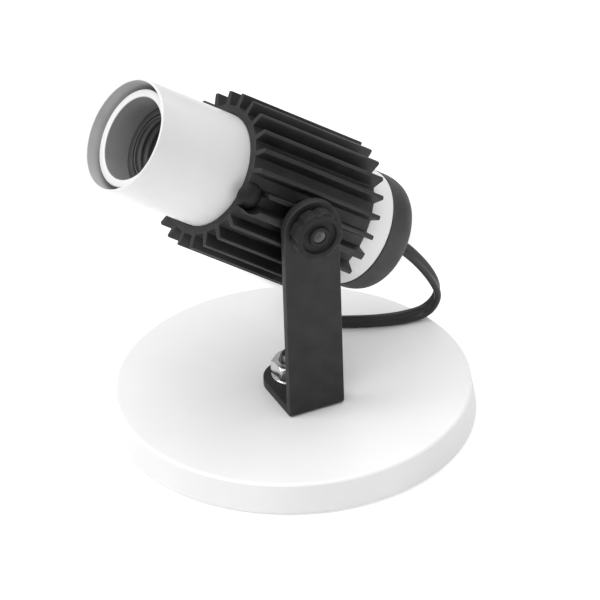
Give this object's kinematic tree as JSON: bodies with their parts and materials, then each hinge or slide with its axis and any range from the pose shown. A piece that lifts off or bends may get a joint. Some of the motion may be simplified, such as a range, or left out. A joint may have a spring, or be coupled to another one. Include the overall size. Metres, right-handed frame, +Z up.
{
  "type": "adjustable table spotlight",
  "caption": "Adjustable table spotlight with a finned, tilting tubular lamp head on a flat-bar bracket, a clamp knob, a round base and a mains lead.",
  "frame": {"origin": "centre of the base's underside, on the floor", "axes": "+Z up; -Y is the side the bracket's outer face and the clamp knob look towards; the lamp's nose points up and towards -X at rest"},
  "size_m": [0.1826, 0.2897, 0.1676],
  "materials": {
    "white_lacquered_board": "white lacquered fibreboard, satin",
    "pad_felt": "grey felt",
    "zinc_steel": "bright zinc plated",
    "black_bar": "black powder coat, satin",
    "black_sleeve": "black anodised, satin",
    "washer_nylon": "matt",
    "black_screw": "blackened steel, semi-gloss",
    "white_tube": "white enamel, semi-gloss",
    "white_collar": "white moulded, semi-gloss",
    "black_cap": "matt moulded",
    "black_rubber": "matt",
    "white_plastic": "moulded, semi-gloss",
    "black_moulding": "moulded, matt",
    "brass": "plain",
    "black_knob": "moulded, semi-matt",
    "black_cable": "flexible sheath, satin",
    "tie_strap": "woven strap",
    "black_plug": "moulded, satin",
    "pin_metal": "nickel plated"
  },
  "bodies": {
    "base": {"base_disc": "white_lacquered_board", "base_pad": "pad_felt", "base_bolt": "zinc_steel", "bolt_washer": "zinc_steel", "clamp_washer": "zinc_steel", "clamp_nut": "zinc_steel", "cord_run": "black_cable", "cord_coil": "black_cable", "cord_tie": "tie_strap", "cord_tail": "black_cable", "plug_strain_relief": "black_plug", "plug_body": "black_plug", "plug_pins": "pin_metal"},
    "bracket": {"bracket": "black_bar", "cord_loop": "black_cable"},
    "head": {"heat_sink_sleeve": "black_sleeve", "pivot_boss": "black_bar", "friction_washer": "washer_nylon", "tube_lock_screw": "black_screw", "lamp_tube": "white_tube", "rear_collar": "white_collar", "rear_cap": "black_cap", "cord_bushing": "black_rubber", "lampholder_skirt": "white_plastic", "lampholder_core": "black_moulding", "lampholder_shell": "brass", "centre_contact": "brass", "terminal_screws": "brass", "threaded_rod": "zinc_steel", "rod_nuts": "zinc_steel", "inner_leads": "black_cable"},
    "washer": {"knob_washer": "black_screw"},
    "knob": {"knob": "black_knob", "knob_stud": "zinc_steel"}
  },
  "joints": [
    {"name": "base_swivel", "type": "hinge", "parent": "base", "child": "bracket", "pos_m": [0, 0, 0.0187], "axis": [0, 0, 1], "range_deg": [-45, 45], "deforming": ["cord_loop", "cord_run"]},
    {"name": "head_tilt", "type": "hinge", "parent": "bracket", "child": "head", "pos_m": [0, -0.0185, 0.1048], "axis": [0, 1, 0], "range_deg": [-40, 25], "deforming": ["cord_loop"]},
    {"name": "knob_travel", "type": "slide", "parent": "head", "child": "washer", "axis": [0, -1, 0], "range_m": [0, 0.002]},
    {"name": "knob_turn", "type": "hinge", "parent": "washer", "child": "knob", "pos_m": [0, -0.0282, 0.1048], "axis": [0, -1, 0], "range_deg": [0, 725]}
  ],
  "couplings": [
    {"joint": "knob_turn", "follows": "knob_travel", "rad_per_m": 6283.2}
  ]
}
